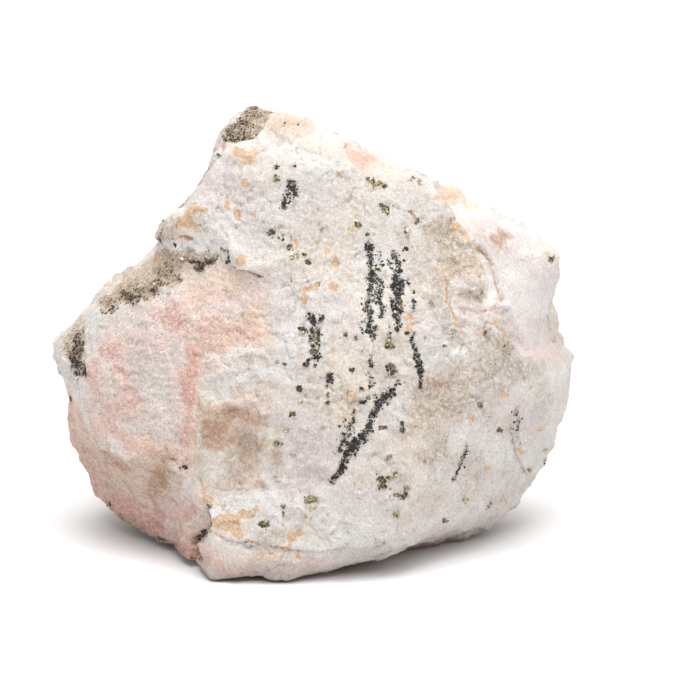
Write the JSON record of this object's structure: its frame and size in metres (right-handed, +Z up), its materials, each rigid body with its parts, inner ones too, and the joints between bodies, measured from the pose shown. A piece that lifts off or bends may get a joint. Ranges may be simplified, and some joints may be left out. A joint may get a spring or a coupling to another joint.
{
  "type": "rhodochrosite specimen",
  "caption": "Hand-sized broken lump of pale pink rhodochrosite in white quartz, with black sulphide veins, standing on its own rough foot.",
  "frame": {"origin": "centre of the bounding box in X and Y, at the height of the surface the stone rests on", "axes": "+X to the right along the long side of the stone, +Y towards its back (the pale plate faces -Y), +Z up"},
  "size_m": [0.0572, 0.037, 0.0476],
  "materials": {
    "rock": "rough broken stone, chalky white and pale pink, with granular black veins",
    "black_sulphide": "granular, dull metallic black",
    "pyrite": "small bright crystal faces"
  },
  "bodies": {
    "root": {"rhodochrosite_rock": "rock"}
  },
  "joints": []
}
